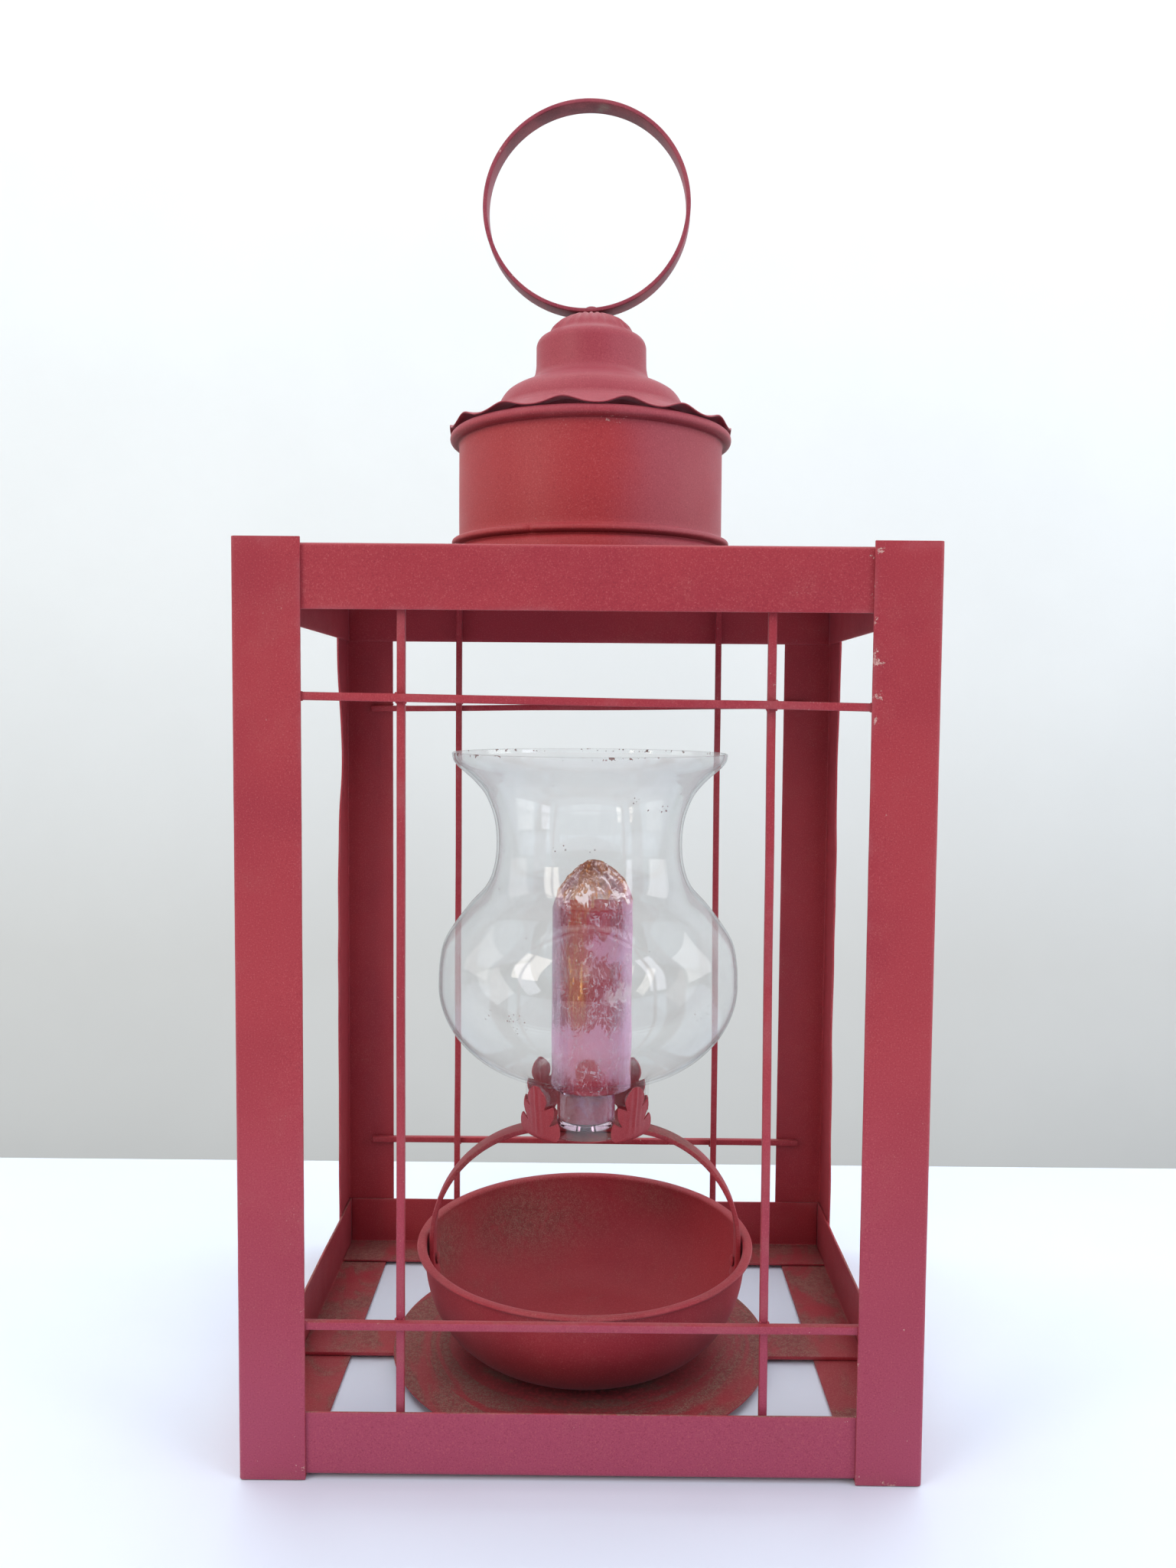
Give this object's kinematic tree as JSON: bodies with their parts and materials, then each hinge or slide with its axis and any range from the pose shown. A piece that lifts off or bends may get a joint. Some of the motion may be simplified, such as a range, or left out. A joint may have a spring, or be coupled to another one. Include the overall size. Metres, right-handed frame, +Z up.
{
  "type": "barn lantern",
  "caption": "Square steel cage candle lantern with barred front and back, vented cap, hanging ring and a clear hurricane globe on a strap arch over a bowl.",
  "frame": {"origin": "centre of the footprint on the floor", "axes": "+Z up, +X to the right seen from the barred front, +Y to the back; the front faces -Y"},
  "size_m": [0.305, 0.24, 0.656],
  "materials": {
    "barn_red_paint": "satin powder coat, lightly speckled, dusty and chipped",
    "clear_glass": "clear blown glass, faint grey tint",
    "red_wax": "red candle wax, satin",
    "clear_film": "thin clear wrinkled film over the wax",
    "cotton_wick": "braided cotton"
  },
  "bodies": {
    "lantern": {"base_cross_strap": "barn_red_paint", "base_disc": "barn_red_paint", "base_rivet": "barn_red_paint", "bottom_rail_front": "barn_red_paint", "bottom_rail_left": "barn_red_paint", "bottom_rail_rear": "barn_red_paint", "bottom_rail_right": "barn_red_paint", "bowl": "barn_red_paint", "corner_post_front_left": "barn_red_paint", "corner_post_front_right": "barn_red_paint", "corner_post_rear_left": "barn_red_paint", "corner_post_rear_right": "barn_red_paint", "front_left_rod": "barn_red_paint", "front_lower_bar": "barn_red_paint", "front_right_rod": "barn_red_paint", "front_upper_bar": "barn_red_paint", "holder_strap": "barn_red_paint", "hub_rivet": "barn_red_paint", "leaf_front_left": "barn_red_paint", "leaf_front_right": "barn_red_paint", "leaf_hub": "barn_red_paint", "leaf_rear_left": "barn_red_paint", "leaf_rear_right": "barn_red_paint", "rear_left_rod": "barn_red_paint", "rear_lower_bar": "barn_red_paint", "rear_right_rod": "barn_red_paint", "rear_upper_bar": "barn_red_paint", "ring_rivet": "barn_red_paint", "roof_plate": "barn_red_paint", "strap_rivet_left": "barn_red_paint", "strap_rivet_right": "barn_red_paint", "top_rail_front": "barn_red_paint", "top_rail_left": "barn_red_paint", "top_rail_rear": "barn_red_paint", "top_rail_right": "barn_red_paint", "vent_cap": "barn_red_paint", "vent_collar": "barn_red_paint", "vent_drum": "barn_red_paint"},
    "ring": {"hanging_ring": "barn_red_paint"},
    "globe": {"hurricane_globe": "clear_glass"},
    "stand": {"glass_candle_stand": "clear_glass"},
    "candle": {"candle": "red_wax", "candle_wick": "cotton_wick", "candle_wrap": "clear_film"}
  },
  "joints": [
    {"name": "ring_swivel", "type": "hinge", "parent": "lantern", "child": "ring", "pos_m": [0.0006, 0, 0.5493], "axis": [0, 0, 1], "continuous": true},
    {"name": "globe_lift", "type": "slide", "parent": "lantern", "child": "globe", "axis": [0, 0, 1], "range_m": [0, 0.085]},
    {"name": "stand_lift", "type": "slide", "parent": "lantern", "child": "stand", "axis": [0, 0, 1], "range_m": [0, 0.03]},
    {"name": "candle_lift", "type": "slide", "parent": "stand", "child": "candle", "axis": [0, 0, 1], "range_m": [0, 0.12]}
  ]
}
